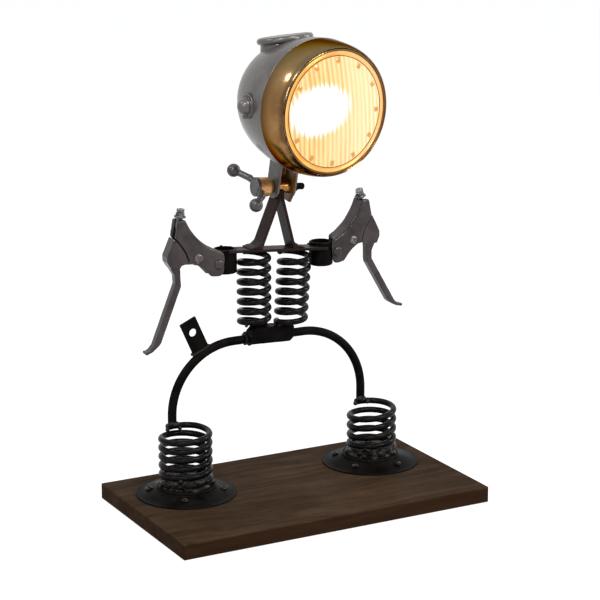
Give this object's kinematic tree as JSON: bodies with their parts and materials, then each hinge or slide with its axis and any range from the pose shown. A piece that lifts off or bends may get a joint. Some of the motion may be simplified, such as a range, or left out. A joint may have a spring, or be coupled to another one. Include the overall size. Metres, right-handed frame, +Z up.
{
  "type": "robot shaped desk lamp",
  "caption": "Desk lamp shaped like a standing robot, welded up from coil springs, brake lever arms, a bent rod and a headlamp that tilts, on a wooden board.",
  "frame": {"origin": "centre of the board's underside", "axes": "+Z up, the robot faces -Y, the board's long side lies along X"},
  "size_m": [0.35, 0.204, 0.4864],
  "materials": {
    "dark_wood": "worn satin, stained dark brown",
    "black_enamel": "gloss black over welded steel",
    "black_screws": "blackened",
    "grey_casting": "satin dark grey",
    "grey_steel": "satin dark grey",
    "zinc": "worn zinc plate",
    "nickel": "polished, warm tarnish",
    "lens": "fluted, warm light",
    "bulb_glass": "frosted",
    "mirror": "polished",
    "black_rubber": "matt",
    "white_plastic": "matt"
  },
  "bodies": {
    "stand": {"base_board": "dark_wood", "foot_plate_left": "black_enamel", "foot_plate_right": "black_enamel", "foot_screws_left": "black_screws", "foot_screws_right": "black_screws", "foot_spring_left": "black_enamel", "foot_spring_right": "black_enamel", "leg_arch": "black_enamel", "leg_tab": "black_enamel", "hip_block": "black_enamel", "torso_spring_left": "black_enamel", "torso_spring_right": "black_enamel", "shoulder_bar": "black_enamel", "shoulder_ring_left": "black_enamel", "shoulder_ring_right": "black_enamel", "lever_perch_left": "grey_casting", "lever_perch_right": "grey_casting", "perch_pin_left": "zinc", "perch_pin_right": "zinc", "lever_pivot_left": "zinc", "lever_pivot_right": "zinc", "neck_bar_left": "black_enamel", "neck_bar_right": "black_enamel", "neck_tube": "black_enamel"},
    "head": {"head_bracket": "grey_steel", "clamp_nut": "black_enamel", "headlamp_bowl": "grey_steel", "collar_cap": "grey_steel", "headlamp_bezel": "nickel", "bezel_screw": "zinc", "lens_gasket": "black_rubber", "lens_glass": "lens", "reflector": "mirror", "lampholder": "white_plastic", "bulb": "bulb_glass", "side_bolt_left": "grey_steel", "side_bolt_right": "grey_steel", "cable_grommet": "black_rubber"},
    "clamp": {"clamp_bolt": "black_enamel", "clamp_handle": "grey_steel"},
    "lever_left": {"lever_blade_left": "grey_casting"},
    "lever_right": {"lever_blade_right": "grey_casting"},
    "adjuster_left": {"adjuster_left": "zinc"},
    "adjuster_right": {"adjuster_right": "zinc"},
    "locknut_left": {"adjuster_nut_left": "zinc"},
    "locknut_right": {"adjuster_nut_right": "zinc"}
  },
  "joints": [
    {"name": "head_tilt", "type": "hinge", "parent": "stand", "child": "head", "pos_m": [0.00722, 0.041, 0.32464], "axis": [0.9972, 0, -0.075], "range_deg": [-20, 35]},
    {"name": "clamp_turn", "type": "hinge", "parent": "head", "child": "clamp", "pos_m": [0.00722, 0.041, 0.32464], "axis": [0.9972, 0, -0.075], "continuous": true},
    {"name": "lever_left_swing", "type": "hinge", "parent": "stand", "child": "lever_left", "pos_m": [-0.0887, 0.04329, 0.2612], "axis": [0.0698, 0.9976, 0], "range_deg": [-28, 0]},
    {"name": "adjuster_left_turn", "type": "hinge", "parent": "stand", "child": "adjuster_left", "pos_m": [-0.10568, 0.04448, 0.30163], "axis": [0.1216, -0.0085, 0.9925], "continuous": true},
    {"name": "locknut_left_turn", "type": "hinge", "parent": "adjuster_left", "child": "locknut_left", "pos_m": [-0.10568, 0.04448, 0.30163], "axis": [0.1216, -0.0085, 0.9925], "continuous": true},
    {"name": "lever_right_swing", "type": "hinge", "parent": "stand", "child": "lever_right", "pos_m": [0.0887, 0.04329, 0.2612], "axis": [-0.0698, 0.9976, 0], "range_deg": [0, 28]},
    {"name": "adjuster_right_turn", "type": "hinge", "parent": "stand", "child": "adjuster_right", "pos_m": [0.10282, 0.04428, 0.30272], "axis": [-0.1903, -0.0133, 0.9816], "continuous": true},
    {"name": "locknut_right_turn", "type": "hinge", "parent": "adjuster_right", "child": "locknut_right", "pos_m": [0.10282, 0.04428, 0.30272], "axis": [-0.1903, -0.0133, 0.9816], "continuous": true}
  ]
}
